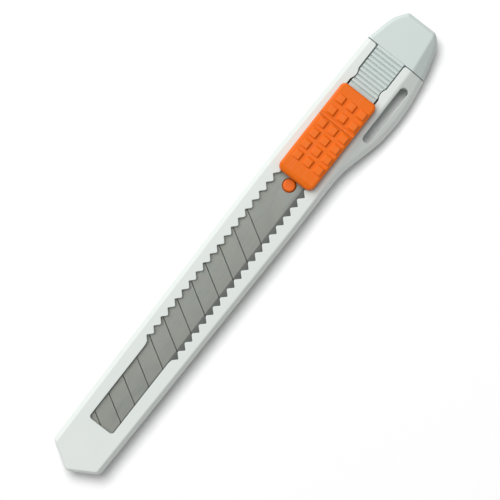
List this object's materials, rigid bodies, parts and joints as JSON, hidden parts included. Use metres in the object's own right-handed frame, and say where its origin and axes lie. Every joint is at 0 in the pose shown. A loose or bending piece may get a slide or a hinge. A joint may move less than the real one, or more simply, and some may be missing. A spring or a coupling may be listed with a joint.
{
  "type": "utility knife",
  "caption": "Slim slide-lock utility knife: white plastic handle with a toothed window slot, snap-off blade, orange split slider, ridged tail cap and flared wing with a strap slot.",
  "frame": {"origin": "centre of the flat back, at mid-length, on the blade's centre line", "axes": "+X from the nose to the tail, +Y to the blade's spine side, +Z from the flat back up to the slider"},
  "size_m": [0.1254, 0.0178, 0.0105],
  "materials": {
    "white_plastic": "satin moulded, off-white",
    "cap_plastic": "satin moulded, greyer white",
    "orange_plastic": "satin moulded, orange",
    "carrier_plastic": "satin moulded, orange",
    "blade_steel": "fine ground carbon steel",
    "spring_steel": "bright rolled strip"
  },
  "bodies": {
    "sleeve": {"sleeve_body": "white_plastic"},
    "carriage": {"blade_carrier": "carrier_plastic", "thumb_button": "orange_plastic", "lock_spring": "spring_steel", "blade_tang": "blade_steel", "blade_segment_01": "blade_steel", "blade_segment_02": "blade_steel", "blade_segment_03": "blade_steel", "blade_segment_04": "blade_steel", "blade_segment_05": "blade_steel", "blade_segment_06": "blade_steel", "blade_segment_07": "blade_steel", "blade_segment_08": "blade_steel", "blade_segment_09": "blade_steel", "blade_segment_10": "blade_steel", "blade_segment_11": "blade_steel", "blade_segment_12": "blade_steel"},
    "lock": {"lock_pad": "orange_plastic", "lock_plate": "spring_steel"},
    "cap": {"tail_cap": "cap_plastic"}
  },
  "joints": [
    {"name": "blade_slide", "type": "slide", "parent": "sleeve", "child": "carriage", "axis": [-1, 0, 0], "range_m": [0, 0.06]},
    {"name": "lock_press", "type": "slide", "parent": "carriage", "child": "lock", "axis": [0, 0, -1], "range_m": [0, 0.0006], "stiffness_N_per_m": 1500, "springref_m": -0.0004, "deforming": ["lock_spring"]},
    {"name": "cap_pull", "type": "slide", "parent": "sleeve", "child": "cap", "axis": [1, 0, 0], "range_m": [0, 0.014]}
  ]
}
